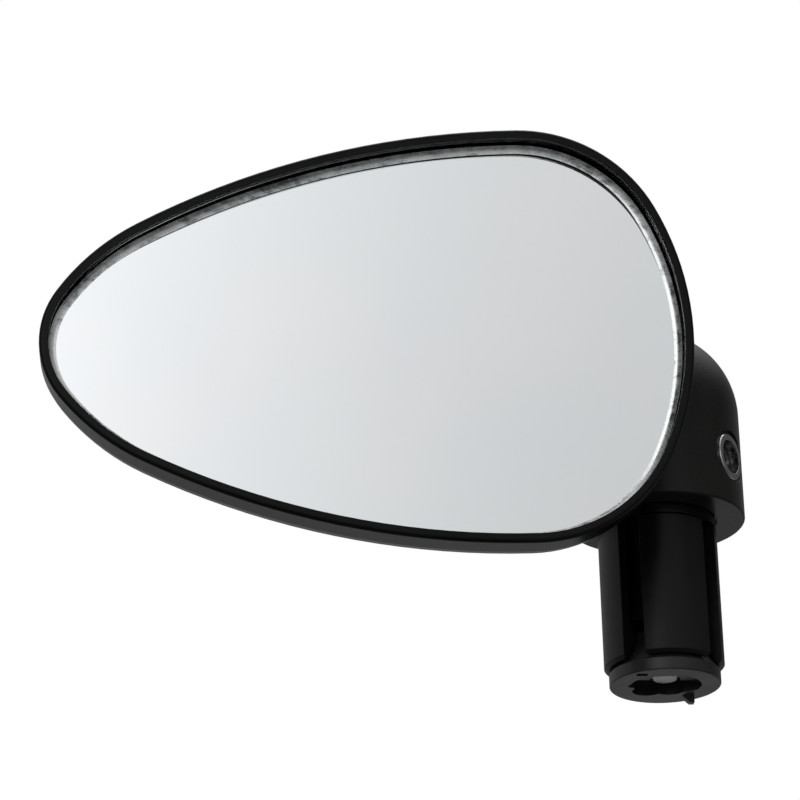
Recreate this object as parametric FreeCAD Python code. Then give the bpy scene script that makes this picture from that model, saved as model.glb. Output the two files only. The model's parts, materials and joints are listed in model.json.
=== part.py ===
import FreeCAD, Part
import os
from math import acos, asin, atan2, cos, pi, radians, sin, sqrt, tan

# Bar-end bicycle mirror, millimetres.
# Row frame: origin at the centre of the knuckle's flat underside, where it bears on the end of the handlebar.
# +Z runs along the plug, out of the bar. -Y is the side the glass faces. +X is towards the wide end of the glass.

V = FreeCAD.Vector
os.makedirs("parts", exist_ok=True)

# ---- expanding plug -------------------------------------------------------------------------------------------
plug_turn = 6.3            # degrees the plug is turned about Z against the front of the knuckle
jaw_count = 4
jaw_r = 8.7                # outside of the jaws when the plug is slack
jaw_in_r = 7.0
jaw_half_angle = 33.5      # degrees
jaw_top_z = -1.65
jaw_bottom_z = -22.6
jaw_corner_r = 0.8
jaw_toe = 0.5              # bevel round the lower outside edge
jaw_toe_in_r = 7.85        # inside of the jaw's lower end
jaw_neck_r = 7.15          # inside of the jaw just below the lip
jaw_neck_z = -21.3
jaw_lip_low_z = -21.1      # the lip rides on the wedge from here up to its smallest radius
jaw_lip_r = 5.9
jaw_lip_start_z = -18.9
jaw_lip_top_z = -17.8
pivot_r = 5.6              # distance of each jaw's pivot from the plug's axis
pivot_z = -3.2
bead_r = 1.0               # round bead along the top of each jaw, snapped into the hub
bead_half = 2.2
bead_play = 0.05
web_t = 1.0

collar_r = 8.65
collar_h = 1.4
collar_ring_r = 8.0        # raised ring that turns in the knuckle's recess
face_gap = 0.05            # running gap between plug and knuckle
hub_r = 6.2
hub_bottom_z = -6.2
core_tube_r = 5.6
core_tube_bottom_z = -16.3
spigot_r = 5.5
spigot_top_z = 13.1
spigot_chamfer = 0.5
groove_z = 7.75            # ring groove the pad presses into
groove_r = 4.9
groove_half = 2.45

bolt_r = 2.0
bolt_bore_r = 2.08
bolt_head_r = 3.5
bolt_head_h = 3.8
bolt_counterbore_r = 3.57
bolt_seat_z = 9.2
bolt_end_z = -24.0
bolt_tip_chamfer = 0.35
bolt_hex = 3.0             # across flats
bolt_hex_depth = 2.0
washer_t = 0.5

wedge_slope = 0.7          # radius gained per millimetre of depth
wedge_disc_r = 8.05
wedge_cone_r = 7.7         # cone radius where it meets the disc
wedge_neck_r = 5.3         # the steep slope ends here and a slimmer neck goes on
wedge_top_r = 4.8
disc_top_z = -22.85
disc_bottom_z = -25.0
disc_shoulder = 0.35       # bevel round the disc's upper edge
disc_edge_r = 0.2
wedge_top_z = -17.8
wedge_play = 0.25          # gap between slack jaw and wedge
nut_af = 7.0
nut_t = 2.9
nut_play = 0.05
nut_bore_r = 2.05
nut_floor_z = -21.6
wedge_bore_r = 2.2
recess_depth = 1.0         # sunk end face round the bolt
recess_r = 5.2
recess_front_y = 0.3       # forward of this the recess is a plain half circle
recess_lobes = ((-2.3, 2.2, 2.2), (0.9, 1.6, 2.3), (3.8, 0.7, 1.25),
                (-4.5, 0.0, 0.9), (-2.2, 0.6, 2.2), (2.4, 0.4, 2.2))
sump_depth = 0.9           # deeper rear half of the recess
slot_x = -4.15
slot_y = -5.1
slot_l = 1.6
slot_w = 1.05
slot_depth = 0.8
nib_left_x = 3.1           # moulded nib standing on the disc's face
nib_tip_x = 4.2
nib_right_x = 4.9
nib_front_y = 4.2
nib_back_y = 5.4
nib_h = 1.0

# ---- knuckle --------------------------------------------------------------------------------------------------
body_r = 13.0
body_cyl_h = 16.3
body_dome_h = 13.6
body_edge_r = 0.25
body_bore_r = 5.55
body_bore_top_z = 13.6
bore_mouth_chamfer = 0.4
under_recess_r = 8.9       # shallow recess in the underside for the collar's ring
under_recess_h = 0.4
screw_angle = 53.5         # degrees from -Y towards +X
screw_z = 7.75
spot_face_r = 3.95
spot_face_at = 12.4        # distance of the spot face from the axis
ring_r = 3.5
ring_proud = 0.35
insert_r = 3.1
insert_bore_r = 2.55
insert_in_at = 7.0
insert_lip_chamfer = 0.12
grub_r = 2.5
grub_in_at = 6.4
grub_out_at = 11.3
grub_hex = 2.5
grub_hex_depth = 2.2
grub_chamfer = 0.35
pad_r = 2.45
pad_in_at = 4.95
pad_out_at = 6.4
boss_r = 4.3
boss_out_at = 14.6
boss_in_at = 8.0
boss_edge_r = 0.6

# ---- ball arm -------------------------------------------------------------------------------------------------
ball_x = -20.0
ball_y = -20.05
ball_z = 17.67
ball_r = 4.4
rod_r = 2.1
rod_bend_r = 5.0
rod_in_at = 4.0            # how far from the axis the rod's blind end sits

# ---- ball joint, in the head's own frame: ball centre at its origin, +Z out of the glass ------------------------
head_tilt = 7.7            # degrees the glass leans downwards
head_roll = 2.17           # degrees the wide end is raised
liner_in_r = 4.45
liner_out_r = 4.95
liner_rim_z = -2.2
liner_top_hole_r = 1.6
seat_in_r = 5.0
seat_out_r = 5.9
seat_bottom_z = -2.2
seat_top_z = 5.7
seat_top_hole_r = 1.6
socket_bore_r = 5.95
socket_boss_r = 7.6
socket_lip_r = 4.65
socket_floor_z = -2.3
socket_back_z = -3.3
socket_edge_r = 0.5
spring_z = 5.75
spring_t = 0.4
spring_in_r = 3.0
spring_out_r = 5.5
plate_z = 6.2
plate_t = 0.8
plate_r = 11.6
plate_hole_r = 2.2
clamp_screw_count = 3
clamp_screw_at = 9.5
clamp_screw_r = 0.95
clamp_screw_head_r = 1.75
clamp_screw_head_h = 0.85
clamp_screw_in_z = 3.6
clamp_screw_hole_r = 1.1
clamp_slot_w = 0.5
clamp_slot_depth = 0.4
pillar_r = 2.0

# ---- mirror head, in the head's own frame ------------------------------------------------------------------------
tip_x = -69.9              # narrow end of the outline
tip_r = 12.6
tip_sweep = 36.8           # degrees of turn along the tip, shoulder, flank and corner arcs
shoulder_r = 32.8
shoulder_sweep = 26.2
flank_r = 118.3
flank_sweep = 27.0
corner_r = 21.5
corner_sweep = 63.5
bezel_front_z = 12.4
bezel_back_z = 7.0
bezel_wall = 0.8
bezel_lip = 1.3
bezel_lip_t = 0.8
bezel_round = 0.55
shell_top_z = 6.9
shell_back_z = 1.6
shell_draft = 0.28         # how much narrower the shell is at its back
shell_back_round = 3.0
shell_wall = 2.1
shell_floor_z = 3.4
spigot_gap = 0.1
rest_top_z = 8.3           # inner rim the lens sits on
rib_top = 7.0
rib_w = 1.2
rib_stop = 12.9            # ribs stop this far from the ball
cross_rib_x = (-50.0, -34.0)
lens_back_z = 8.35
lens_flange_z = 11.5
lens_edge_gap = 0.1
lens_step = 1.5            # outline of the raised front, inside the bezel's lip
lens_crown_z = 12.35
lens_front_r = 1000.0
lens_centre_x = -23.9
film_t = 0.25
film_gap = 0.05            # air between the lens and the silvered film
film_inset = 2.3
foam_t = 1.0
foam_inset = 2.6
foam_window_r = 13.4

TURN = 360.0
RIGHT = 90.0
AXIS_Z = V(0, 0, 1)
ORIGIN = V(0, 0, 0)


# ---- small helpers ------------------------------------------------------------------------------------------------
def cyl(radius, z0, z1, x=0.0, y=0.0):
    """Upright cylinder between two heights."""
    return Part.makeCylinder(radius, z1 - z0, V(x, y, z0), AXIS_Z)


def ring(outer, inner, z0, z1, x=0.0, y=0.0):
    return cyl(outer, z0, z1, x, y).cut(cyl(inner, z0 - 1.0, z1 + 1.0, x, y))


def rod(radius, start, direction, length):
    return Part.makeCylinder(radius, length, start, direction)


def revolve(profile):
    """Solid of revolution about Z from (radius, height) pairs."""
    points = [V(r, 0, z) for r, z in profile]
    face = Part.Face(Part.makePolygon(points + [points[0]]))
    return face.revolve(ORIGIN, AXIS_Z, TURN)


def sector(from_deg, to_deg, radius, z0, z1):
    """Pie slice used as a cutter or a keeper."""
    face = Part.Face(Part.makePolygon([V(0, 0, z0), V(radius, 0, z0), V(radius, 0, z1), V(0, 0, z1), V(0, 0, z0)]))
    slice_ = face.revolve(ORIGIN, AXIS_Z, to_deg - from_deg)
    slice_.rotate(ORIGIN, AXIS_Z, from_deg)
    return slice_


def hexagon(across_flats, z0, z1):
    corner = across_flats / 2 / cos(pi / 6)
    points = [V(corner * cos(k * pi / 3), corner * sin(k * pi / 3), z0) for k in range(6)]
    return Part.Face(Part.makePolygon(points + [points[0]])).extrude(V(0, 0, z1 - z0))


def block(size, centre):
    return Part.makeBox(size.x, size.y, size.z, centre - size / 2)


def chamfer_circle(shape, radius, z, size):
    """Chamfer the circular edges of this radius at this height."""
    edges = [e for e in shape.Edges if is_circle(e, radius, z)]
    return shape.makeChamfer(size, edges)


def round_circle(shape, radius, z, size):
    edges = [e for e in shape.Edges if is_circle(e, radius, z)]
    return shape.makeFillet(size, edges)


def is_circle(edge, radius, z):
    curve = edge.Curve
    if curve.TypeId != "Part::GeomCircle":
        return False
    return abs(curve.Radius - radius) < 1e-4 and abs(curve.Center.z - z) < 1e-4


def turned(shape, degrees, axis=AXIS_Z, about=ORIGIN):
    copy = shape.copy()
    copy.rotate(about, axis, degrees)
    return copy


def radial_placement(angle, height):
    """Frame whose +Z points out of the knuckle, the angle counted from -Y towards +X."""
    direction = V(sin(radians(angle)), -cos(radians(angle)), 0)
    return FreeCAD.Placement(V(0, 0, height), FreeCAD.Rotation(AXIS_Z, direction))


def head_placement():
    """Frame of the mirror head: origin at the ball, +Z out of the glass, +X towards the wide end."""
    tilt = radians(head_tilt)
    along = V(1, 0, 0)
    up = V(0, -sin(tilt), cos(tilt))
    out = along.cross(up)
    rotation = FreeCAD.Rotation(along, up, out, "ZXY")
    rotation = rotation.multiply(FreeCAD.Rotation(AXIS_Z, head_roll))
    return FreeCAD.Placement(V(ball_x, ball_y, ball_z), rotation)


def placed(shape, placement):
    copy = shape.copy()
    copy.transformShape(placement.toMatrix())
    return copy


def save(shape, node):
    shape.exportStep("parts/" + node + ".step")


# ---- the egg outline ------------------------------------------------------------------------------------------------
def egg_arcs(inset):
    """Upper half of the outline as (centre, radius, first angle, last angle), every arc pulled in by the inset."""
    x = tip_x
    y = 0.0
    heading = pi / 2
    arcs = []
    turns = ((tip_r, tip_sweep), (shoulder_r, shoulder_sweep), (flank_r, flank_sweep), (corner_r, corner_sweep))
    for radius, sweep in turns:
        centre = V(x + radius * sin(heading), y - radius * cos(heading), 0)
        last = heading - radians(sweep)
        arcs.append((centre, radius - inset, heading, last))
        x = centre.x - radius * sin(last)
        y = centre.y + radius * cos(last)
        heading = last
    end_r = y / cos(heading)
    centre = V(x + end_r * sin(heading), 0, 0)
    arcs.append((centre, end_r - inset, heading, -pi / 2))
    return arcs


def on_arc(arc, heading, side, z):
    centre, radius, _, _ = arc
    return V(centre.x - radius * sin(heading), side * (centre.y + radius * cos(heading)), z)


def end_arc(arc, across, z):
    """Arc over the centre line, from its heading on one side to the same heading on the other."""
    heading, middle = (arc[3], arc[2]) if across > 0 else (arc[2], arc[3])
    return Part.Arc(on_arc(arc, heading, -across, z), on_arc(arc, middle, 1, z), on_arc(arc, heading, across, z))


def side_arc(arc, side, z):
    first, last = (arc[2], arc[3]) if side > 0 else (arc[3], arc[2])
    return Part.Arc(on_arc(arc, first, side, z), on_arc(arc, (first + last) / 2, side, z), on_arc(arc, last, side, z))


def egg_wire(inset, z):
    arcs = egg_arcs(inset)
    flanks = arcs[1:-1]
    curves = [end_arc(arcs[0], 1, z)] + [side_arc(arc, 1, z) for arc in flanks]
    curves += [end_arc(arcs[-1], -1, z)] + [side_arc(arc, -1, z) for arc in reversed(flanks)]
    return Part.Wire([curve.toShape() for curve in curves])


def egg(inset, z0, z1):
    return Part.Face(egg_wire(inset, z0)).extrude(V(0, 0, z1 - z0))


def egg_taper(inset0, z0, inset1, z1):
    return Part.makeLoft([egg_wire(inset0, z0), egg_wire(inset1, z1)], True, True)


def egg_bowl(inset_top, z_top, draft, z_back, radius):
    """Egg body that narrows towards its back and ends in a rounded edge."""
    flank = egg_taper(inset_top + draft, z_back + radius, inset_top, z_top)
    body = flank
    steps = 6
    last = (inset_top + draft, z_back + radius)
    for k in range(1, steps + 1):
        turn = pi / 2 * k / steps
        here = (inset_top + draft + radius * (1 - cos(turn)), z_back + radius * (1 - sin(turn)))
        body = body.fuse(egg_taper(here[0], here[1], last[0], last[1]))
        last = here
    return body.removeSplitter()


# ---- plug -----------------------------------------------------------------------------------------------------------
def jaw_azimuth(index):
    """Direction of a jaw in degrees from +X, the first one facing the front."""
    return -RIGHT + plug_turn + index * TURN / jaw_count


def pivot_axis_rod(radius, half_length):
    """Cylinder along a jaw's pivot axis, for the jaw that points along +X."""
    return rod(radius, V(pivot_r, -half_length, pivot_z), V(0, 1, 0), 2 * half_length)


def plug_core():
    ring_top = under_recess_h - face_gap
    outside = [(0, spigot_top_z), (spigot_r - spigot_chamfer, spigot_top_z), (spigot_r, spigot_top_z - spigot_chamfer),
               (spigot_r, groove_z + groove_half), (groove_r, groove_z + groove_half),
               (groove_r, groove_z - groove_half), (spigot_r, groove_z - groove_half), (spigot_r, ring_top),
               (collar_ring_r, ring_top), (collar_ring_r, -face_gap), (collar_r, -face_gap),
               (collar_r, -collar_h), (hub_r, -collar_h), (hub_r, hub_bottom_z),
               (core_tube_r, hub_bottom_z), (core_tube_r, core_tube_bottom_z), (0, core_tube_bottom_z)]
    core = revolve(outside)
    core = core.cut(cyl(bolt_bore_r, core_tube_bottom_z - 1, spigot_top_z + 1))
    core = core.cut(cyl(bolt_counterbore_r, bolt_seat_z - washer_t, spigot_top_z + 1))
    socket = pivot_axis_rod(bead_r + bead_play, bead_half + 2 * bead_play)
    for k in range(jaw_count):
        core = core.cut(turned(socket, jaw_azimuth(k)))
    return core


def jaw(index):
    profile = [(jaw_in_r, jaw_top_z), (jaw_r, jaw_top_z), (jaw_r, jaw_bottom_z + jaw_toe),
               (jaw_r - jaw_toe, jaw_bottom_z), (jaw_toe_in_r, jaw_bottom_z), (jaw_neck_r, jaw_neck_z),
               (wedge_r_at(jaw_lip_low_z) + wedge_play, jaw_lip_low_z),
               (jaw_lip_r, wedge_z_at(jaw_lip_r - wedge_play)), (jaw_lip_r, jaw_lip_start_z), (jaw_in_r, jaw_lip_top_z)]
    shell = revolve(profile).common(sector(-jaw_half_angle, jaw_half_angle, 2 * jaw_r, jaw_bottom_z - 1, 1))
    shell = shell.common(jaw_outline())
    web = block(V(jaw_in_r - pivot_r + 0.3, 2 * bead_half, web_t), V((jaw_in_r + pivot_r + 0.3) / 2, 0, pivot_z))
    bead = pivot_axis_rod(bead_r, bead_half)
    body = shell.fuse([web, bead]).removeSplitter()
    return turned(body, jaw_azimuth(index))


def jaw_outline():
    """Straight-sided block with two rounded lower corners, seen along the jaw's own direction."""
    half = jaw_r * sin(radians(jaw_half_angle))
    size = V(2 * jaw_r, 2 * half, jaw_top_z - jaw_bottom_z)
    keeper = block(size, V(jaw_r, 0, (jaw_top_z + jaw_bottom_z) / 2))
    low = [e for e in keeper.Edges if is_low_side(e, half)]
    return keeper.makeFillet(jaw_corner_r, low)


def is_low_side(edge, half):
    flat = all(abs(v.Point.z - jaw_bottom_z) < 1e-6 for v in edge.Vertexes)
    side = all(abs(abs(v.Point.y) - half) < 1e-6 for v in edge.Vertexes)
    same = abs(edge.Vertexes[0].Point.y - edge.Vertexes[-1].Point.y) < 1e-6
    return flat and side and same


def wedge_r_at(z):
    return wedge_cone_r - wedge_slope * (z - disc_top_z)


def wedge_z_at(radius):
    return disc_top_z + (wedge_cone_r - radius) / wedge_slope


def wedge():
    cone = revolve([(0, wedge_top_z), (wedge_top_r, wedge_top_z), (wedge_neck_r, wedge_z_at(wedge_neck_r)),
                    (wedge_cone_r, disc_top_z), (wedge_disc_r, disc_top_z - disc_shoulder),
                    (wedge_disc_r, disc_bottom_z), (0, disc_bottom_z)])
    cone = round_circle(cone, wedge_disc_r, disc_bottom_z, disc_edge_r)
    cone = cone.cut(cyl(wedge_bore_r, disc_bottom_z - 1, wedge_top_z + 1))
    cone = cone.cut(turned(hexagon(nut_af + 2 * nut_play, nut_floor_z, wedge_top_z + 3), plug_turn))
    cone = cone.cut(wedge_recess(disc_bottom_z + recess_depth))
    cone = cone.cut(wedge_recess(disc_bottom_z + recess_depth + sump_depth).common(rear_half()))
    cone = cone.cut(block(V(slot_l, slot_w, 2 * slot_depth), V(slot_x, slot_y, disc_bottom_z)))
    return cone.fuse(wedge_nib()).removeSplitter()


def wedge_recess(ceiling):
    """Sunk area of the end face: a half circle in front and overlapping round lobes behind."""
    low = disc_bottom_z - 1
    area = cyl(recess_r, low, ceiling).cut(rear_half())
    return area.fuse([cyl(radius, low, ceiling, x, y) for x, y, radius in recess_lobes])


def rear_half():
    side = 4 * recess_r
    return block(V(side, side, side), V(0, recess_front_y + side / 2, disc_bottom_z))


def wedge_nib():
    top = disc_bottom_z + disc_edge_r
    corners = [(nib_left_x, top), (nib_left_x, disc_bottom_z), (nib_tip_x, disc_bottom_z - nib_h),
               (nib_right_x, disc_bottom_z - nib_h), (nib_right_x, top)]
    points = [V(x, nib_front_y, z) for x, z in corners]
    return Part.Face(Part.makePolygon(points + [points[0]])).extrude(V(0, nib_back_y - nib_front_y, 0))


def wedge_nut():
    nut = hexagon(nut_af, nut_floor_z, nut_floor_z + nut_t).cut(cyl(nut_bore_r, nut_floor_z - 1, wedge_top_z + 1))
    return turned(nut, plug_turn)


def expander_bolt():
    head_top = bolt_seat_z + bolt_head_h
    bolt = revolve([(0, head_top), (bolt_head_r - bolt_tip_chamfer, head_top),
                    (bolt_head_r, head_top - bolt_tip_chamfer), (bolt_head_r, bolt_seat_z), (bolt_r, bolt_seat_z),
                    (bolt_r, bolt_end_z + bolt_tip_chamfer), (bolt_r - bolt_tip_chamfer, bolt_end_z), (0, bolt_end_z)])
    return bolt.cut(hexagon(bolt_hex, head_top - bolt_hex_depth, head_top + 1))


def bolt_washer():
    return ring(bolt_head_r, bolt_bore_r, bolt_seat_z - washer_t, bolt_seat_z)


# ---- knuckle --------------------------------------------------------------------------------------------------------
def knuckle_housing():
    barrel = cyl(body_r, 0, body_cyl_h)
    barrel = round_circle(barrel, body_r, 0, body_edge_r)
    dome = Part.makeSphere(1.0, ORIGIN, AXIS_Z, 0, RIGHT, TURN)
    stretch = FreeCAD.Matrix()
    stretch.scale(body_r, body_r, body_dome_h)
    dome = dome.transformGeometry(stretch)
    dome.translate(V(0, 0, body_cyl_h))
    body = barrel.fuse([dome, arm_boss()])
    body = body.cut(cyl(body_bore_r, -1, body_bore_top_z))
    body = body.cut(cyl(under_recess_r, -1, under_recess_h))
    mouth_top = under_recess_h + bore_mouth_chamfer
    mouth = revolve([(0, 0), (body_bore_r + mouth_top, 0), (body_bore_r, mouth_top), (0, mouth_top)])
    body = body.cut(mouth)
    body = body.cut(placed(screw_bore(), radial_placement(screw_angle, screw_z)))
    body = body.cut(rod(rod_r, V(-rod_in_at, 0, ball_z), V(-1, 0, 0), 2 * body_r))
    return body


def arm_boss():
    boss = cyl(boss_r, boss_in_at, boss_out_at)
    boss = round_circle(boss, boss_r, boss_out_at, boss_edge_r)
    return placed(boss, radial_placement(-RIGHT, ball_z))


def screw_bore():
    """Stepped hole for insert, screw and pad, +Z pointing out of the knuckle."""
    bore = cyl(spot_face_r, spot_face_at, body_r + 2)
    bore = bore.fuse(cyl(insert_r, insert_in_at, body_r + 2))
    return bore.fuse(cyl(insert_bore_r, 0, body_r + 2))


def screw_insert():
    outer = revolve([(0, insert_in_at), (insert_r, insert_in_at), (insert_r, spot_face_at), (ring_r, spot_face_at),
                     (ring_r, spot_face_at + ring_proud), (0, spot_face_at + ring_proud)])
    outer = chamfer_circle(outer, ring_r, spot_face_at + ring_proud, insert_lip_chamfer)
    return outer.cut(cyl(insert_bore_r, 0, body_r + 2))


def grub_screw():
    screw = revolve([(0, grub_in_at), (grub_r - grub_chamfer, grub_in_at), (grub_r, grub_in_at + grub_chamfer),
                     (grub_r, grub_out_at - grub_chamfer), (grub_r - grub_chamfer, grub_out_at), (0, grub_out_at)])
    return screw.cut(hexagon(grub_hex, grub_out_at - grub_hex_depth, grub_out_at + 1))


def friction_pad():
    return cyl(pad_r, pad_in_at, pad_out_at)


def ball_arm():
    bend_x = ball_x + rod_bend_r
    start = V(-rod_in_at, 0, ball_z)
    elbow_in = V(bend_x, 0, ball_z)
    elbow_out = V(ball_x, -rod_bend_r, ball_z)
    middle = V(bend_x - rod_bend_r * cos(pi / 4), -rod_bend_r + rod_bend_r * sin(pi / 4), ball_z)
    shank = rod(rod_r, start, V(-1, 0, 0), (start - elbow_in).Length)
    leg = rod(rod_r, elbow_out, V(0, -1, 0), abs(ball_y) - rod_bend_r)
    path = Part.Wire(Part.Arc(elbow_in, middle, elbow_out).toShape())
    section = Part.Wire(Part.makeCircle(rod_r, elbow_in, V(-1, 0, 0)))
    elbow = path.makePipeShell([section], True, True)
    ball = Part.makeSphere(ball_r, V(ball_x, ball_y, ball_z))
    return ball.fuse([leg, elbow, shank]).removeSplitter()


# ---- ball joint, head frame -----------------------------------------------------------------------------------------
def ball_liner():
    liner = Part.makeSphere(liner_out_r).cut(Part.makeSphere(liner_in_r))
    liner = liner.cut(cyl(2 * liner_out_r, -2 * liner_out_r, liner_rim_z))
    return liner.cut(cyl(liner_top_hole_r, 0, 2 * liner_out_r))


def ball_seat():
    seat = cyl(seat_out_r, seat_bottom_z, seat_top_z).cut(Part.makeSphere(seat_in_r))
    return seat.cut(cyl(seat_top_hole_r, 0, seat_top_z + 1))


def spring_washer():
    return ring(spring_out_r, spring_in_r, spring_z, spring_z + spring_t)


def clamp_points():
    return [turned_point(clamp_screw_at, TURN * k / clamp_screw_count) for k in range(clamp_screw_count)]


def turned_point(radius, degrees):
    return radius * cos(radians(degrees)), radius * sin(radians(degrees))


def clamp_plate():
    plate = ring(plate_r, plate_hole_r, plate_z, plate_z + plate_t)
    for x, y in clamp_points():
        plate = plate.cut(cyl(clamp_screw_hole_r, plate_z - 1, plate_z + plate_t + 1, x, y))
    return plate


def clamp_screws():
    seat_z = plate_z + plate_t
    screws = []
    for x, y in clamp_points():
        head = cyl(clamp_screw_head_r, seat_z, seat_z + clamp_screw_head_h, x, y)
        screw = head.fuse(cyl(clamp_screw_r, clamp_screw_in_z, seat_z, x, y)).removeSplitter()
        slot = block(V(2 * clamp_screw_head_r, clamp_slot_w, 2 * clamp_slot_depth),
                     V(x, y, seat_z + clamp_screw_head_h))
        screws.append(screw.cut(slot))
    return Part.makeCompound(screws)


# ---- mirror head, head frame ----------------------------------------------------------------------------------------
def rear_shell():
    bowl = egg_bowl(0, shell_top_z, shell_draft, shell_back_z, shell_back_round)
    rim = egg(bezel_wall + spigot_gap, shell_top_z - 0.5, rest_top_z)
    boss = round_circle(cyl(socket_boss_r, socket_back_z, shell_floor_z), socket_boss_r, socket_back_z, socket_edge_r)
    shell = bowl.fuse([rim, boss])
    shell = shell.cut(egg(shell_wall, shell_floor_z, rest_top_z + 1))
    shell = shell.fuse([cyl(socket_boss_r, shell_floor_z - 0.5, seat_top_z)] + shell_pillars() + shell_ribs())
    shell = shell.cut(cyl(socket_bore_r, socket_floor_z, rest_top_z))
    shell = shell.cut(cyl(socket_lip_r, socket_back_z - 1, socket_floor_z + 0.5))
    for x, y in clamp_points():
        shell = shell.cut(cyl(clamp_screw_r, clamp_screw_in_z, rest_top_z, x, y))
    return shell.removeSplitter()


def shell_pillars():
    return [cyl(pillar_r, shell_floor_z - 0.5, plate_z, x, y) for x, y in clamp_points()]


def shell_ribs():
    """Ribs on the shell's floor that carry the foam pad."""
    height = rib_top - shell_floor_z + 0.5
    middle = (rib_top + shell_floor_z - 0.5) / 2
    reach = abs(tip_x)
    keeper = egg(shell_wall - 0.3, shell_floor_z - 0.5, rib_top).cut(cyl(rib_stop, 0, rest_top_z))
    ribs = [block(V(reach, rib_w, height), V(-reach / 2, 0, middle))]
    for x in cross_rib_x:
        ribs.append(block(V(rib_w, reach, height), V(x, 0, middle)))
    ribs.append(block(V(rib_w, reach, height), V(0, 0, middle)))
    return [rib.common(keeper) for rib in ribs]


def bezel_ring():
    outer = egg(0, bezel_back_z, bezel_front_z)
    front = [e for e in outer.Edges if all(abs(v.Point.z - bezel_front_z) < 1e-6 for v in e.Vertexes)]
    outer = outer.makeFillet(bezel_round, front)
    outer = outer.cut(egg(bezel_wall, bezel_back_z - 1, bezel_front_z - bezel_lip_t))
    return outer.cut(egg(bezel_lip, bezel_back_z, bezel_front_z + 1))


def mirror_lens():
    flange = egg(bezel_wall + lens_edge_gap, lens_back_z, lens_flange_z)
    crown = egg(lens_step, lens_back_z, lens_crown_z + 1)
    dome = Part.makeSphere(lens_front_r, V(lens_centre_x, 0, lens_crown_z - lens_front_r))
    crown = crown.common(dome)
    return flange.fuse(crown).removeSplitter()


def mirror_film():
    top = lens_back_z - film_gap
    return egg(film_inset, top - film_t, top)


def foam_pad():
    top = lens_back_z - film_gap - film_t
    return egg(foam_inset, top - foam_t, top).cut(cyl(foam_window_r, top - foam_t - 1, top + 1))


# ---- write everything -----------------------------------------------------------------------------------------------
def main():
    save(plug_core(), "plug_core")
    save(bolt_washer(), "bolt_washer")
    save(expander_bolt(), "expander_bolt")
    for index, side in enumerate(("front", "right", "back", "left")):
        save(jaw(index), "jaw_" + side)
    save(wedge(), "wedge_cone")
    save(wedge_nut(), "wedge_nut")
    save(knuckle_housing(), "knuckle_housing")
    screw_frame = radial_placement(screw_angle, screw_z)
    save(placed(screw_insert(), screw_frame), "screw_insert")
    save(placed(grub_screw(), screw_frame), "grub_screw")
    save(placed(friction_pad(), screw_frame), "friction_pad")
    save(ball_arm(), "ball_arm")
    head = head_placement()
    save(placed(ball_liner(), head), "ball_liner")
    save(placed(ball_seat(), head), "ball_seat")
    save(placed(spring_washer(), head), "spring_washer")
    save(placed(clamp_plate(), head), "clamp_plate")
    save(placed(clamp_screws(), head), "clamp_screws")
    save(placed(rear_shell(), head), "rear_shell")
    save(placed(bezel_ring(), head), "bezel_ring")
    save(placed(foam_pad(), head), "foam_pad")
    save(placed(mirror_film(), head), "mirror_film")
    save(placed(mirror_lens(), head), "mirror_lens")


main()
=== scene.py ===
import json
import math

import bpy
from mathutils import Matrix, Vector

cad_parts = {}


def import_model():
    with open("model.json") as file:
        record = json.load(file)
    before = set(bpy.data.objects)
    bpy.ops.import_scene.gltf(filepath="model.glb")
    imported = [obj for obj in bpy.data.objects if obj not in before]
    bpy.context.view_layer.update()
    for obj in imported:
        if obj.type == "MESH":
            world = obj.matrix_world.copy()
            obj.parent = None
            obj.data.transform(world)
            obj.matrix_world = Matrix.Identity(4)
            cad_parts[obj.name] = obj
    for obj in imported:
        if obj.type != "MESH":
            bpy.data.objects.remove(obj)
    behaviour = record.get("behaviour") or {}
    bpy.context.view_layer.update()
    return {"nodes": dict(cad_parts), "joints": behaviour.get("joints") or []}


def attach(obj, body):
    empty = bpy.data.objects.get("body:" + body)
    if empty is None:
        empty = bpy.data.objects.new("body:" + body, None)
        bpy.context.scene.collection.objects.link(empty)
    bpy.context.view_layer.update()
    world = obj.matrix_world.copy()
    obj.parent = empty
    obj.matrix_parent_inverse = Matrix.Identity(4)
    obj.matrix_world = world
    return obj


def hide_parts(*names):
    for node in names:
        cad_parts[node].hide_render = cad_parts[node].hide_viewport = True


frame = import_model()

nodes = frame["nodes"]
MM = 0.001

# ---- the mirror head's own frame: origin at the ball's centre, +Z out of the glass, +X to the wide end ----
HEAD_TILT = 7.7     # degrees the glass leans down
HEAD_ROLL = 2.17    # degrees the head is turned about the glass' normal

# ---- the head's outline, the same arcs as the CAD, millimetres ----
TIP_X = -69.9
ARCS = ((12.6, 36.8), (32.8, 26.2), (118.3, 27.0), (21.5, 63.5))    # radius and degrees of turn, from the tip
OUTLINE_STEP = 0.9

# ---- the lens: insets from the outline and heights in the head's frame, millimetres ----
LENS_MIDDLE_X = -23.9
LENS_BACK_Z = 8.35
LENS_FLANGE_Z = 11.5
LENS_CROWN_Z = 12.35
LENS_CROWN_R = 1000.0
LENS_STEP = 1.5         # inset of the crowned middle, which stands in the rim
LENS_WALL = (           # inset and height up the polished edge
    (1.1, LENS_BACK_Z), (0.95, 8.5), (0.95, 9.2), (0.95, 10.0), (0.95, 10.8), (0.95, 11.2),
    (1.05, 11.44), (1.2, LENS_FLANGE_Z), (LENS_STEP, LENS_FLANGE_Z),
)
CROWN_RINGS = 30
FLAT_RINGS = (0.2, 0.5, 0.8)    # shares of the way from the middle to the edge

# ---- the silvering behind the lens and the ground margin round it, whose colour carries painted reflection ----
FILM_INSET = 2.3
FILM_FRONT_Z = LENS_BACK_Z - 0.03
FILM_BACK_Z = LENS_BACK_Z - 0.3
MARGIN = ((FILM_INSET, -0.03), (2.05, 0.0), (1.75, 0.1), (1.45, 0.3), (1.2, 0.5))   # inset and rise
MARGIN_T = 0.05

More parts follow.
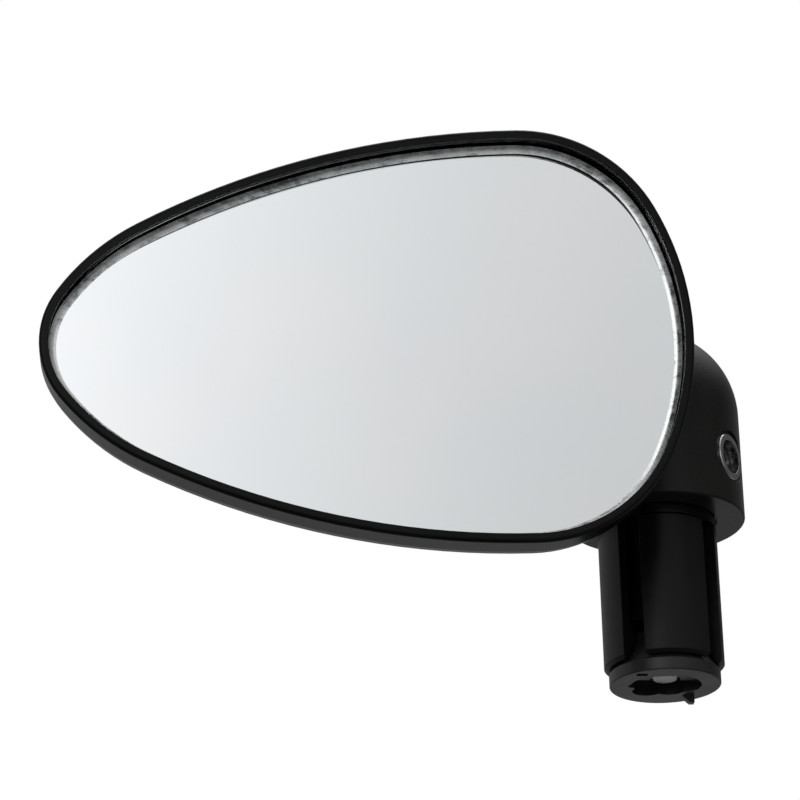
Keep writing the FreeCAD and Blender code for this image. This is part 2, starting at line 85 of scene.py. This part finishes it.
# ---- degrees between faces from which an edge is drawn sharp ----
CAD_SHARP = 28.0
LENS_SHARP = 6.0
MARGIN_SHARP = 40.0


def joint(name):
    return next(j for j in frame["joints"] if j["name"] == name)


def head_matrix():
    tilt = math.radians(HEAD_TILT)
    along = Vector((1, 0, 0))
    up = Vector((0, -math.sin(tilt), math.cos(tilt)))
    out = along.cross(up)
    basis = Matrix((along, up, out)).transposed()
    turn = Matrix.Rotation(math.radians(HEAD_ROLL), 3, "Z")
    return Matrix.Translation(Vector(joint("head_roll")["pos_m"])) @ (basis @ turn).to_4x4()


HEAD = head_matrix()


# ---- outline ----
def half_spans(inset):
    """The upper half's arcs from the tip to the wide end: centre, radius and first and last heading."""
    x, y, heading = TIP_X, 0.0, math.pi / 2
    spans = []
    for radius, sweep in ARCS:
        cx, cy = x + radius * math.sin(heading), y - radius * math.cos(heading)
        last = heading - math.radians(sweep)
        spans.append((cx, cy, radius - inset, heading, last))
        x, y, heading = cx - radius * math.sin(last), cy + radius * math.cos(last), last
    end_r = y / math.cos(heading)
    spans.append((x + end_r * math.sin(heading), 0.0, end_r - inset, heading, -math.pi / 2))
    return spans


def half_outline(inset):
    points = []
    spans = half_spans(inset)
    for cx, cy, radius, first, last in spans:
        count = max(4, round((radius + inset) * abs(first - last) / OUTLINE_STEP))
        for k in range(count):
            heading = first + (last - first) * k / count
            points.append((cx - radius * math.sin(heading), cy + radius * math.cos(heading)))
    cx, cy, radius, first, last = spans[-1]
    points.append((cx - radius * math.sin(last), 0.0))
    return points


def outline(inset):
    upper = half_outline(inset)
    return upper + [(x, -y) for x, y in reversed(upper[1:-1])]


def shrunk(points, share):
    """The outline drawn in towards the lens' middle."""
    return [(LENS_MIDDLE_X + (x - LENS_MIDDLE_X) * share, y * share) for x, y in points]


def lift(points, z):
    return [(x, y, z) for x, y in points]


def crown_z(x, y):
    flat = (x - LENS_MIDDLE_X) ** 2 + y ** 2
    return LENS_CROWN_Z - LENS_CROWN_R + math.sqrt(LENS_CROWN_R ** 2 - flat)


# ---- meshes ----
def smooth(obj, degrees):
    mesh = obj.data
    mesh.polygons.foreach_set("use_smooth", [True] * len(mesh.polygons))
    mesh.set_sharp_from_angle(angle=math.radians(degrees))
    mesh.update()


def new_piece(name, verts, faces, sharp):
    """A piece from vertices in millimetres in the head's frame."""
    mesh = bpy.data.meshes.new(name)
    mesh.from_pydata([HEAD @ (v * MM) for v in verts], [], faces)
    mesh.validate()
    mesh.update()
    obj = bpy.data.objects.new(name, mesh)
    bpy.context.scene.collection.objects.link(obj)
    smooth(obj, sharp)
    return obj


def cap(verts, first, count):
    """A fan of triangles over the ring of vertices that starts at the first one."""
    ring = verts[first:first + count]
    centre = len(verts)
    verts.append(sum(ring, Vector()) / count)
    return [(centre, first + k, first + (k + 1) % count) for k in range(count)]


def loft(name, rings, sharp, closed=False):
    """Skin through rings of equal length, from the back to the front.

    The first and last rings are capped, or joined to each other when closed.
    """
    count = len(rings[0])
    verts = [Vector(p) for ring in rings for p in ring]
    faces = []
    for r in range(len(rings) if closed else len(rings) - 1):
        this, following = r * count, (r + 1) % len(rings) * count
        for k in range(count):
            after = (k + 1) % count
            faces.append((this + k, following + k, following + after, this + after))
    if not closed:
        faces += cap(verts, 0, count)
        faces += [face[::-1] for face in cap(verts, (len(rings) - 1) * count, count)]
    return new_piece(name, verts, faces, sharp)


def build_lens():
    """Flat back, polished edge, stepped flange and crowned front."""
    back = outline(LENS_WALL[0][0])
    rings = [lift(shrunk(back, share), LENS_BACK_Z) for share in FLAT_RINGS]
    rings += [lift(outline(inset), z) for inset, z in LENS_WALL]
    front = outline(LENS_STEP)
    for k in range(CROWN_RINGS):
        ring = shrunk(front, 1 - k / CROWN_RINGS)
        rings.append([(x, y, crown_z(x, y)) for x, y in ring])
    return loft("mirror_lens_clear", rings, LENS_SHARP)


def build_film():
    edge = outline(FILM_INSET)
    shares = FLAT_RINGS + (1.0,)
    rings = [lift(shrunk(edge, share), FILM_BACK_Z) for share in shares]
    rings += [lift(shrunk(edge, share), FILM_FRONT_Z) for share in reversed(shares)]
    return loft("mirror_silvering", rings, LENS_SHARP)


def build_margin():
    """Ground margin round the silvering, seen through the lens, with painted reflection streaked into its
    colour.
    """
    rings = [lift(outline(inset), LENS_BACK_Z + rise - MARGIN_T) for inset, rise in MARGIN]
    rings += [lift(outline(inset), LENS_BACK_Z + rise) for inset, rise in reversed(MARGIN)]
    return loft("mirror_edge", rings, MARGIN_SHARP, closed=True)


# ---- shader helpers ----
def shader(name):
    material = bpy.data.materials.new(name)
    material.use_nodes = True
    tree = material.node_tree
    tree.nodes.clear()
    out = tree.nodes.new("ShaderNodeOutputMaterial")
    bsdf = tree.nodes.new("ShaderNodeBsdfPrincipled")
    tree.links.new(bsdf.outputs["BSDF"], out.inputs["Surface"])
    return material, tree, bsdf


def noise(tree, scale, detail=4.0, rough=0.5, stretch=(1, 1, 1), offset=0.0):
    coords = tree.nodes.new("ShaderNodeTexCoord")
    mapping = tree.nodes.new("ShaderNodeMapping")
    mapping.inputs["Scale"].default_value = stretch
    mapping.inputs["Location"].default_value = (offset, offset * 0.7, offset * 1.3)
    texture = tree.nodes.new("ShaderNodeTexNoise")
    texture.inputs["Scale"].default_value = scale
    texture.inputs["Detail"].default_value = detail
    texture.inputs["Roughness"].default_value = rough
    tree.links.new(coords.outputs["Object"], mapping.inputs["Vector"])
    tree.links.new(mapping.outputs["Vector"], texture.inputs["Vector"])
    return texture.outputs["Fac"]


def ramp(tree, factor, stops):
    node = tree.nodes.new("ShaderNodeValToRGB")
    elements = node.color_ramp.elements
    while len(elements) < len(stops):
        elements.new(0.5)
    for element, (position, colour) in zip(elements, stops):
        element.position = position
        element.color = tuple(colour) + (1.0,)
    tree.links.new(factor, node.inputs["Fac"])
    return node.outputs["Color"]


def two_tone(tree, factor, dark, light, low=0.3, high=0.7):
    return ramp(tree, factor, [(low, dark), (high, light)])


def tinted(value, tint):
    return tuple(value * t for t in tint)


def grey(value):
    return (value, value, value)


def remap(tree, factor, low, high, from_low=0.3, from_high=0.7):
    node = tree.nodes.new("ShaderNodeMapRange")
    node.inputs["From Min"].default_value = from_low
    node.inputs["From Max"].default_value = from_high
    node.inputs["To Min"].default_value = low
    node.inputs["To Max"].default_value = high
    tree.links.new(factor, node.inputs["Value"])
    return node.outputs["Result"]


def smoothstep(tree, value, low, high):
    node = tree.nodes.new("ShaderNodeMapRange")
    node.interpolation_type = "SMOOTHSTEP"
    node.inputs["From Min"].default_value = low
    node.inputs["From Max"].default_value = high
    tree.links.new(value, node.inputs["Value"])
    return node.outputs["Result"]


def maths(tree, operation, a, b):
    node = tree.nodes.new("ShaderNodeMath")
    node.operation = operation
    for socket, value in zip(node.inputs, (a, b)):
        if isinstance(value, (int, float)):
            socket.default_value = value
        else:
            tree.links.new(value, socket)
    return node.outputs["Value"]


def add(tree, a, b):
    return maths(tree, "ADD", a, b)


def times(tree, a, b):
    return maths(tree, "MULTIPLY", a, b)


def blend(tree, amount, first, second):
    """first where the amount is 0, second where it is 1."""
    difference = maths(tree, "SUBTRACT", second, first)
    return add(tree, first, times(tree, difference, amount))


def edge_round(tree, radius):
    node = tree.nodes.new("ShaderNodeBevel")
    node.samples = 4
    node.inputs["Radius"].default_value = radius * MM
    return node.outputs["Normal"]


def bump(tree, height, strength, depth, normal=None):
    node = tree.nodes.new("ShaderNodeBump")
    node.inputs["Strength"].default_value = strength
    node.inputs["Distance"].default_value = depth * MM
    tree.links.new(height, node.inputs["Height"])
    if normal is not None:
        tree.links.new(normal, node.inputs["Normal"])
    return node.outputs["Normal"]


# ---- materials; depths and edge radii in millimetres ----
def moulded(name, base, rough, spread, grain, depth, level, edge, tint=(1, 1, 1), scuff=0.1):
    """Moulded or powder-coated black: blotches in colour and gloss, fine grain, soft edges, light scuffs."""
    material, tree, bsdf = shader(name)
    blotch = noise(tree, 55.0, 3.0, 0.55, offset=0.31)
    fine = noise(tree, grain, 3.0, 0.6, offset=0.77)
    colour = two_tone(tree, blotch, tinted(base * 0.75, tint), tinted(base * 1.3, tint), 0.32, 0.68)
    tree.links.new(colour, bsdf.inputs["Base Color"])
    dull = remap(tree, blotch, rough - spread, rough + spread)
    lines = noise(tree, 420.0, 5.0, 0.7, stretch=(1.0, 0.35, 2.2), offset=1.9)
    dull = add(tree, dull, remap(tree, lines, 0.0, scuff, 0.60, 0.74))
    tree.links.new(dull, bsdf.inputs["Roughness"])
    bsdf.inputs["Specular IOR Level"].default_value = level
    bsdf.inputs["IOR"].default_value = 1.49
    tree.links.new(bump(tree, fine, 0.5, depth, edge_round(tree, edge)), bsdf.inputs["Normal"])
    return material


def metal(name, base, rough, grain, depth, stretch=(1, 1, 1), spread=0.08):
    """Plated or bare metal with turning or drawing lines and slight tarnish."""
    material, tree, bsdf = shader(name)
    tarnish = noise(tree, 140.0, 4.0, 0.6, offset=0.5)
    lines = noise(tree, grain, 4.0, 0.6, stretch=stretch, offset=1.3)
    colour = two_tone(tree, tarnish, grey(base * 0.8), grey(base * 1.1))
    tree.links.new(colour, bsdf.inputs["Base Color"])
    bsdf.inputs["Metallic"].default_value = 1.0
    tree.links.new(remap(tree, lines, rough - spread, rough + spread), bsdf.inputs["Roughness"])
    tree.links.new(bump(tree, lines, 0.4, depth, edge_round(tree, 0.08)), bsdf.inputs["Normal"])
    return material


def clear_plastic(name):
    """Clear lens with a trace of dust. The low IOR keeps the margin behind it in view close to the rim."""
    material, tree, bsdf = shader(name)
    dust = noise(tree, 900.0, 4.0, 0.6, offset=0.2)
    colour = two_tone(tree, noise(tree, 30.0, 2.0, offset=0.9), (0.985, 0.995, 0.995), (1.0, 1.0, 1.0))
    tree.links.new(colour, bsdf.inputs["Base Color"])
    tree.links.new(remap(tree, dust, 0.0, 0.012, 0.55, 0.8), bsdf.inputs["Roughness"])
    bsdf.inputs["Transmission Weight"].default_value = 1.0
    bsdf.inputs["IOR"].default_value = 1.04
    return material


def silver(name):
    """Reflecting layer with a slight ripple."""
    material, tree, bsdf = shader(name)
    blotch = noise(tree, 38.0, 3.0, 0.5, offset=0.4)
    colour = two_tone(tree, blotch, (0.897, 0.907, 0.920), (0.912, 0.921, 0.929))
    tree.links.new(colour, bsdf.inputs["Base Color"])
    bsdf.inputs["Metallic"].default_value = 1.0
    tree.links.new(remap(tree, blotch, 0.010, 0.03), bsdf.inputs["Roughness"])
    ripple = noise(tree, 60.0, 1.0, 0.4, offset=2.2)
    tree.links.new(bump(tree, ripple, 0.25, 0.004), bsdf.inputs["Normal"])
    return material


def painted_edge_reflection(name):
    """Ground and partly polished margin: its colour's streaks of dark, grey and white are painted reflection,
    standing in for the lens edge's streaky reflections.
    """
    material, tree, bsdf = shader(name)
    streak = noise(tree, 900.0, 4.0, 0.6, stretch=(0.5, 1.0, 1.0), offset=0.6)
    patch = noise(tree, 48.0, 2.0, 0.5, offset=1.7)
    both = add(tree, times(tree, streak, 0.6), times(tree, patch, 0.4))
    # painted reflection: the dark, grey and white streaks in the colour
    colour = ramp(tree, both, [(0.4, (0.3, 0.31, 0.31)), (0.5, (0.8, 0.82, 0.82)), (0.58, (1.0, 1.0, 1.0))])
    tree.links.new(colour, bsdf.inputs["Base Color"])
    tree.links.new(remap(tree, streak, 0.16, 0.36), bsdf.inputs["Roughness"])
    bsdf.inputs["Metallic"].default_value = 0.9
    tree.links.new(bump(tree, streak, 0.5, 0.02), bsdf.inputs["Normal"])
    return material


def foam(name):
    """Open-celled foam."""
    material, tree, bsdf = shader(name)
    cells = noise(tree, 1500.0, 5.0, 0.7, offset=0.1)
    colour = two_tone(tree, noise(tree, 80.0, 3.0, offset=0.6), (0.50, 0.49, 0.45), (0.62, 0.61, 0.57))
    tree.links.new(colour, bsdf.inputs["Base Color"])
    tree.links.new(remap(tree, cells, 0.8, 1.0), bsdf.inputs["Roughness"])
    tree.links.new(bump(tree, cells, 0.8, 0.06), bsdf.inputs["Normal"])
    return material


def nylon(name, base, tint=(1, 1, 1)):
    """Moulded bearing plastic, waxy."""
    material, tree, bsdf = shader(name)
    blotch = noise(tree, 90.0, 3.0, offset=0.25)
    colour = two_tone(tree, blotch, tinted(base * 0.9, tint), tinted(base * 1.05, tint))
    tree.links.new(colour, bsdf.inputs["Base Color"])
    tree.links.new(remap(tree, blotch, 0.38, 0.52), bsdf.inputs["Roughness"])
    fine = noise(tree, 1400.0, 3.0, offset=0.85)
    tree.links.new(bump(tree, fine, 0.4, 0.01, edge_round(tree, 0.1)), bsdf.inputs["Normal"])
    return material


head_black = moulded(
    "head_black", base=0.009, rough=0.20, spread=0.04, grain=1100.0, depth=0.005, level=0.10, edge=0.18,
    tint=(0.95, 1.03, 1.0), scuff=0.12,
)
knuckle_black = moulded(
    "knuckle_black", base=0.021, rough=0.28, spread=0.04, grain=1500.0, depth=0.005, level=0.2, edge=0.2,
    tint=(1.03, 1.02, 0.94), scuff=0.15,
)
plug_black = moulded(
    "plug_black", base=0.005, rough=0.36, spread=0.06, grain=1800.0, depth=0.010, level=0.26, edge=0.12,
    tint=(1.0, 1.0, 1.03), scuff=0.15,
)
wedge_grey = moulded(
    "wedge_grey", base=0.017, rough=0.34, spread=0.06, grain=1800.0, depth=0.012, level=0.5, edge=0.12,
    tint=(1.03, 1.0, 0.94),
)
powder = moulded(
    "powder_coat", base=0.014, rough=0.36, spread=0.05, grain=2200.0, depth=0.025, level=0.5, edge=0.1,
)
plated = metal("bright_plate", base=0.62, rough=0.24, grain=900.0, depth=0.006)
zinc = metal("zinc_plate", base=0.50, rough=0.34, grain=1600.0, depth=0.008, stretch=(1, 1, 0.3))
black_steel = metal("black_oxide", base=0.10, rough=0.36, grain=1500.0, depth=0.008)
spring_steel = metal("spring_steel", base=0.45, rough=0.28, grain=1200.0, depth=0.006)
natural_nylon = nylon("natural_nylon", 0.68, (1.0, 0.98, 0.92))
dark_acetal = nylon("dark_acetal", 0.03)
white_foam = foam("foam")
acrylic = clear_plastic("clear_acrylic")
silvering = silver("silvering")
margin_painted_reflection = painted_edge_reflection("painted_edge_reflection")

FINISH = {
    plug_black: ("plug_core", "jaw_front", "jaw_right", "jaw_back", "jaw_left"),
    wedge_grey: ("wedge_cone",),
    knuckle_black: ("knuckle_housing",),
    head_black: ("rear_shell", "bezel_ring"),
    powder: ("ball_arm",),
    zinc: ("bolt_washer", "expander_bolt", "wedge_nut", "clamp_plate"),
    plated: ("screw_insert",),
    black_steel: ("grub_screw", "clamp_screws"),
    spring_steel: ("spring_washer",),
    natural_nylon: ("friction_pad", "ball_liner"),
    dark_acetal: ("ball_seat",),
    white_foam: ("foam_pad",),
    silvering: ("mirror_film",),
    acrylic: ("mirror_lens",),
}


def dress(obj, material):
    obj.data.materials.clear()
    obj.data.materials.append(material)


# ---- floor, light and camera; places in metres ----
FLOOR_Z = -0.2
FLOOR_HALF = 3.0
FLOOR_BEHIND = (-0.05, 0.3)     # y over which the floor turns paler to reflections
FLOOR_AHEAD = (0.2, 0.4)        # distance in front over which it starts to glow to reflections
# painted shade and glow of the floor to reflections: its dark level, its gain behind the piece and its glow
# ahead
FLOOR_DARK, FLOOR_GAIN, FLOOR_GLOW = 0.08, 0.34, 0.25


def floor_mesh():
    s = FLOOR_HALF
    mesh = bpy.data.meshes.new("floor")
    mesh.from_pydata([(-s, -s, 0), (s, -s, 0), (s, s, 0), (-s, s, 0)], [], [(0, 1, 2, 3)])
    obj = bpy.data.objects.new("floor", mesh)
    obj.location.z = FLOOR_Z
    bpy.context.scene.collection.objects.link(obj)
    return obj


def floor_material():
    """Pale to the eye; to reflections a painted shade, dark in front and paler behind the piece, and a
    painted glow far in front.
    """
    material, tree, bsdf = shader("pale_floor")
    colour = two_tone(tree, noise(tree, 6.0, 3.0), grey(0.72), grey(0.75))
    coords = tree.nodes.new("ShaderNodeTexCoord")
    split = tree.nodes.new("ShaderNodeSeparateXYZ")
    tree.links.new(coords.outputs["Object"], split.inputs[0])
    y = split.outputs["Y"]
    # painted shade: to reflections the floor is dark in front and paler behind the piece
    shade = add(tree, times(tree, smoothstep(tree, y, *FLOOR_BEHIND), FLOOR_GAIN), FLOOR_DARK)
    seen = tree.nodes.new("ShaderNodeLightPath").outputs["Is Camera Ray"]
    mix = tree.nodes.new("ShaderNodeMix")
    mix.data_type = "RGBA"
    tree.links.new(seen, mix.inputs["Factor"])
    tree.links.new(shade, mix.inputs["A"])
    tree.links.new(colour, mix.inputs["B"])
    tree.links.new(mix.outputs["Result"], bsdf.inputs["Base Color"])
    # painted light: far in front the floor glows to reflections, though it is no lamp
    ahead = smoothstep(tree, times(tree, y, -1.0), *FLOOR_AHEAD)
    glow = times(tree, times(tree, ahead, maths(tree, "SUBTRACT", 1.0, seen)), FLOOR_GLOW)
    tree.links.new(glow, bsdf.inputs["Emission Strength"])
    bsdf.inputs["Emission Color"].default_value = (0.97, 0.99, 1.0, 1.0)
    bsdf.inputs["Roughness"].default_value = 0.9
    one_sided(tree, bsdf)
    return material


def one_sided(tree, bsdf):
    """Seen from underneath, the floor is clear, so the piece can be looked at from below."""
    side = tree.nodes.new("ShaderNodeNewGeometry")
    clear = tree.nodes.new("ShaderNodeBsdfTransparent")
    mix = tree.nodes.new("ShaderNodeMixShader")
    tree.links.new(side.outputs["Backfacing"], mix.inputs["Fac"])
    tree.links.new(bsdf.outputs["BSDF"], mix.inputs[1])
    tree.links.new(clear.outputs["BSDF"], mix.inputs[2])
    out = next(node for node in tree.nodes if node.type == "OUTPUT_MATERIAL")
    tree.links.new(mix.outputs["Shader"], out.inputs["Surface"])


def floor():
    obj = floor_mesh()
    dress(obj, floor_material())


# the bright band ahead: its level at the middle, its fall to the right, its curve and its rise with height
BAND_LEVEL, BAND_SLOPE, BAND_CURVE, BAND_RISE = 0.81, -2.5, 7.0, 0.42
BAND_MIDDLE = 0.03              # x of the direction where the band has its plain level
BAND_REACH = (-0.2, 0.12)       # the slope holds this far either way of the middle
BAND_FRONT = (0.7, 0.85)        # the band fades in over this much of the direction's forward part
BAND_TOP = (0.28, 0.36)         # and fades out over this height
BAND_LIFT = 0.3                 # it stands this much higher on the left
DIM_AHEAD, DIM_AHEAD_RIGHT = 0.02, 0.2
DIM_BEHIND, DIM_BEHIND_SLOPE = 0.24, -0.18
OVERHEAD = 0.9


def band_light(tree, x, z):
    """Level of the bright band: falls to the right in a shallow curve and rises a little with height."""
    off = maths(tree, "MAXIMUM", maths(tree, "SUBTRACT", x, BAND_MIDDLE), BAND_REACH[0])
    off = maths(tree, "MINIMUM", off, BAND_REACH[1])
    level = add(tree, times(tree, off, BAND_SLOPE), BAND_LEVEL)
    level = add(tree, level, times(tree, times(tree, off, off), BAND_CURVE))
    return add(tree, level, times(tree, z, BAND_RISE))


def band_place(tree, x, y, z):
    """1 where the bright band is, 0 elsewhere."""
    leftward = smoothstep(tree, times(tree, x, -1.0), 0.2, 0.4)
    height = maths(tree, "SUBTRACT", z, times(tree, leftward, BAND_LIFT))
    low = maths(tree, "SUBTRACT", 1.0, smoothstep(tree, height, *BAND_TOP))
    return times(tree, smoothstep(tree, times(tree, y, -1.0), *BAND_FRONT), low)


def dim_light(tree, x, y, z):
    """Level round the band: darkest ahead on the left, brighter to the right and behind, bright overhead."""
    before = add(tree, times(tree, smoothstep(tree, x, -0.6, 0.5), DIM_AHEAD_RIGHT), DIM_AHEAD)
    behind = add(tree, times(tree, x, DIM_BEHIND_SLOPE), DIM_BEHIND)
    level = blend(tree, smoothstep(tree, y, -0.45, 0.1), before, behind)
    return blend(tree, smoothstep(tree, z, 0.5, 0.9), level, OVERHEAD)


def world():
    """White to the camera; to reflections a bright band low in front, dim surroundings and light overhead."""
    env = bpy.data.worlds.new("studio")
    bpy.context.scene.world = env
    env.use_nodes = True
    tree = env.node_tree
    tree.nodes.clear()
    coords = tree.nodes.new("ShaderNodeTexCoord")
    split = tree.nodes.new("ShaderNodeSeparateXYZ")
    tree.links.new(coords.outputs["Generated"], split.inputs[0])
    x, y, z = split.outputs
    level = blend(tree, band_place(tree, x, y, z), dim_light(tree, x, y, z), band_light(tree, x, z))
    light = tree.nodes.new("ShaderNodeBackground")
    tree.links.new(level, light.inputs["Strength"])
    light.inputs["Color"].default_value = (0.985, 0.995, 1.0, 1.0)
    white = tree.nodes.new("ShaderNodeBackground")
    white.inputs["Color"].default_value = (1, 1, 1, 1)
    white.inputs["Strength"].default_value = 1.0
    path = tree.nodes.new("ShaderNodeLightPath")
    mix = tree.nodes.new("ShaderNodeMixShader")
    tree.links.new(path.outputs["Is Camera Ray"], mix.inputs["Fac"])
    tree.links.new(light.outputs[0], mix.inputs[1])
    tree.links.new(white.outputs[0], mix.inputs[2])
    out = tree.nodes.new("ShaderNodeOutputWorld")
    tree.links.new(mix.outputs[0], out.inputs["Surface"])


def area(name, location, target, size, power):
    data = bpy.data.lights.new(name, "AREA")
    data.shape = "RECTANGLE"
    data.size, data.size_y = size
    data.energy = power
    obj = bpy.data.objects.new(name, data)
    obj.location = location
    obj.rotation_euler = (Vector(target) - Vector(location)).to_track_quat("-Z", "Y").to_euler()
    bpy.context.scene.collection.objects.link(obj)


CAMERA_AZIMUTH, CAMERA_DISTANCE, CAMERA_HEIGHT = -10.0, 0.434, -0.1659
CAMERA_YAW, CAMERA_PITCH, CAMERA_ROLL = 4.93, 23.35, -1.25
CAMERA_LENS, SENSOR = 141.6, 36.0


def camera_basis():
    """Right, up and look directions from the yaw, pitch and roll."""
    turn = math.radians(CAMERA_AZIMUTH + CAMERA_YAW)
    pitch, roll = math.radians(CAMERA_PITCH), math.radians(CAMERA_ROLL)
    flat = math.cos(pitch)
    look = Vector((-math.sin(turn) * flat, math.cos(turn) * flat, math.sin(pitch)))
    level = Vector((math.cos(turn), math.sin(turn), 0))
    upright = level.cross(look)
    right = math.cos(roll) * level + math.sin(roll) * upright
    up = -math.sin(roll) * level + math.cos(roll) * upright
    return right, up, look


def camera():
    azimuth = math.radians(CAMERA_AZIMUTH)
    place = Vector((math.sin(azimuth), -math.cos(azimuth), 0)) * CAMERA_DISTANCE
    place.z = CAMERA_HEIGHT
    right, up, look = camera_basis()
    data = bpy.data.cameras.new("camera")
    data.lens = CAMERA_LENS
    data.sensor_width = SENSOR
    data.clip_start = 0.01
    data.clip_end = 50.0
    obj = bpy.data.objects.new("camera", data)
    obj.matrix_world = Matrix.Translation(place) @ Matrix((right, up, -look)).transposed().to_4x4()
    bpy.context.scene.collection.objects.link(obj)
    bpy.context.scene.camera = obj


# ---- dress the CAD pieces and add the finer ones ----
for material, names in FINISH.items():
    for name in names:
        dress(nodes[name], material)
        smooth(nodes[name], CAD_SHARP)

lens = build_lens()
dress(lens, acrylic)
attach(lens, "head")
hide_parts("mirror_lens")

film = build_film()
dress(film, silvering)
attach(film, "head")
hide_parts("mirror_film")

# the margin round the silvering, coloured with painted reflection
margin = build_margin()
dress(margin, margin_painted_reflection)
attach(margin, "head")

floor()
world()
area("top_soft", location=(0.05, 0.1, 0.7), target=(-0.03, 0, 0), size=(0.5, 0.5), power=2.0)
camera()
bpy.context.scene.view_settings.view_transform = "Standard"
